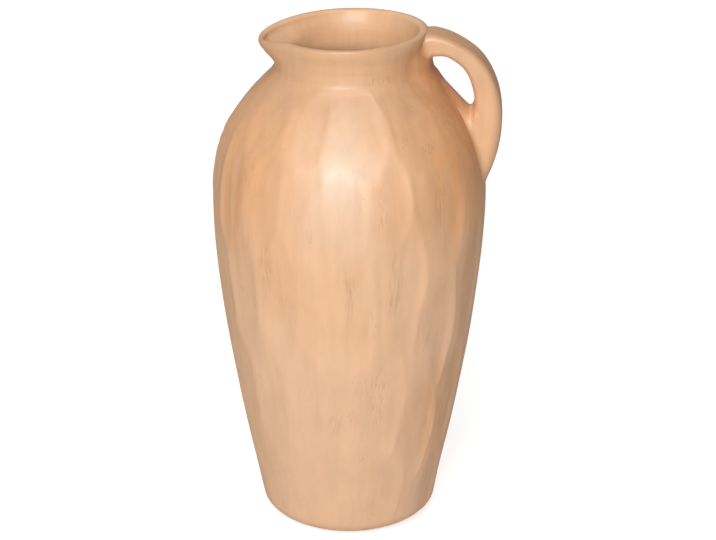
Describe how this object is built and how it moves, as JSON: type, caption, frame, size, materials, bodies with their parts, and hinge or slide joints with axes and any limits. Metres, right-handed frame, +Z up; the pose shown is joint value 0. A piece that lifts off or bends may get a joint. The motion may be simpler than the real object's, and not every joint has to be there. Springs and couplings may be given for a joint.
{
  "type": "jug vase",
  "caption": "Tall hand-scooped terracotta jug vase with a narrow foot, full shoulder, short neck, pinched pouring lip and a strap handle.",
  "frame": {"origin": "centre of the flat foot, on the surface that the vase stands on", "axes": "+Z up out of the mouth, +X towards the handle, and the pouring lip towards -X"},
  "size_m": [0.1878, 0.1775, 0.3412],
  "materials": {
    "body_clay": "bare fired clay, hand-scooped and lightly burnished, with fine cracks",
    "foot_clay": "bare fired clay, matt and slightly gritty where it was cut from the wheel"
  },
  "bodies": {
    "root": {"floor_disc": "foot_clay", "lower_wall": "body_clay", "upper_wall": "body_clay", "neck_collar": "body_clay", "handle": "body_clay", "handle_upper_wad": "body_clay", "handle_lower_wad": "body_clay"}
  },
  "joints": []
}
